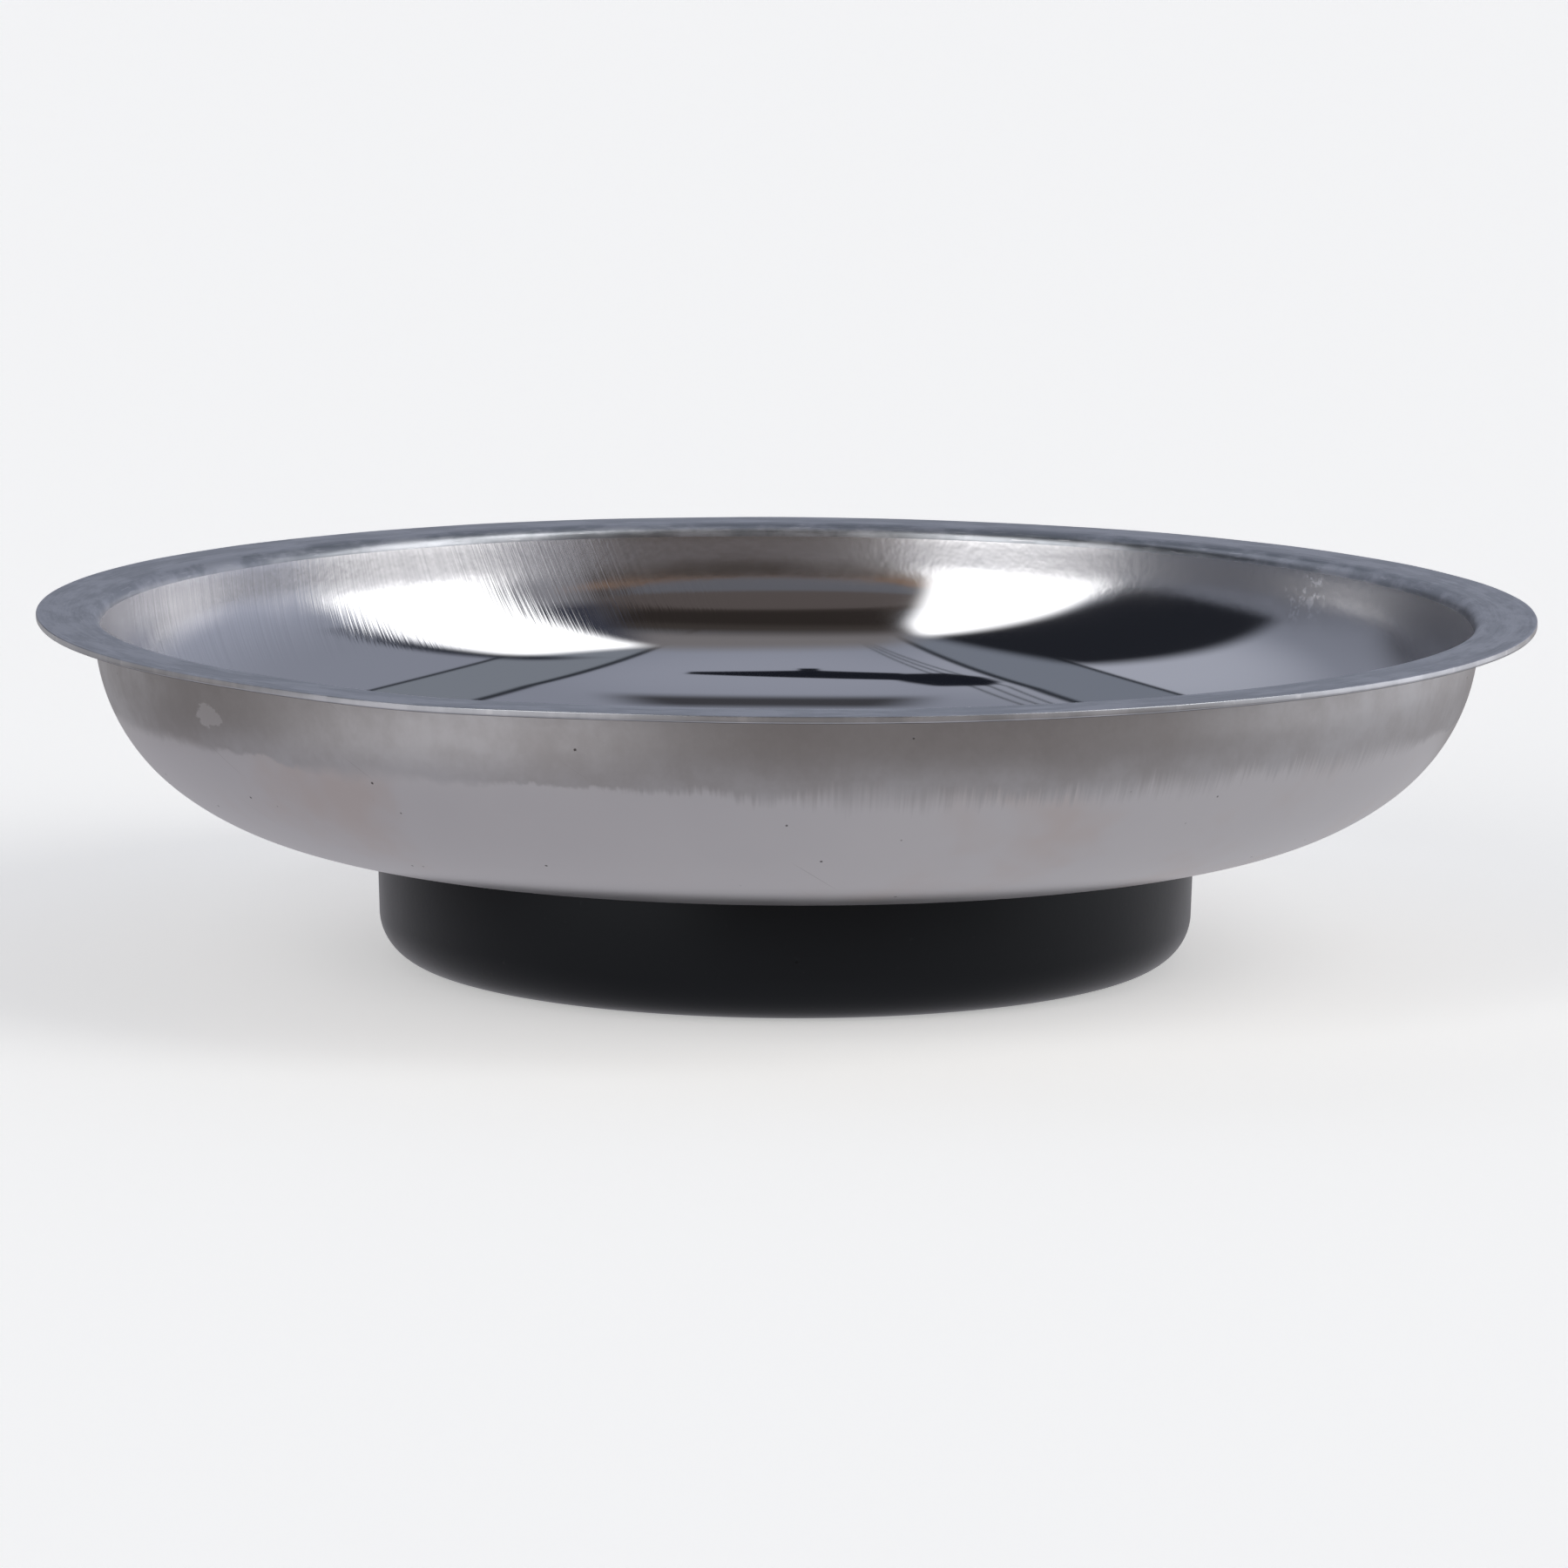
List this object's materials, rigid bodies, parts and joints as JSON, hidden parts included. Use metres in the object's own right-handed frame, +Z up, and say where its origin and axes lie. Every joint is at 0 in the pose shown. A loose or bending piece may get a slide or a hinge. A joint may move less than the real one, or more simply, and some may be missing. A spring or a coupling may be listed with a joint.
{
  "type": "magnetic parts tray",
  "caption": "Round flanged stainless dish on a rubber-covered ring-magnet base, for holding and sorting small steel parts.",
  "frame": {"origin": "centre of the rubber base's resting face, on the dish's axis", "axes": "+Z up along the dish's axis of revolution; +X and +Y lie in the resting plane and are interchangeable on a round part"},
  "size_m": [0.15, 0.15, 0.0351],
  "materials": {
    "stainless_steel": "satin",
    "stud_steel": "satin",
    "foam_pad": "matte",
    "zinc_plated_steel": "satin",
    "ferrite": "matte",
    "epoxy": "satin",
    "black_rubber": "satin",
    "fastener_zinc": "satin",
    "spring_steel": "satin"
  },
  "bodies": {
    "root": {"dish": "stainless_steel", "weld_stud": "stud_steel", "seating_pad": "foam_pad", "magnet_pot": "zinc_plated_steel", "ring_magnet": "ferrite", "potting_ring": "epoxy", "rubber_boot": "black_rubber", "flat_washer": "fastener_zinc", "spring_washer": "spring_steel", "hex_nut": "fastener_zinc"}
  },
  "joints": []
}
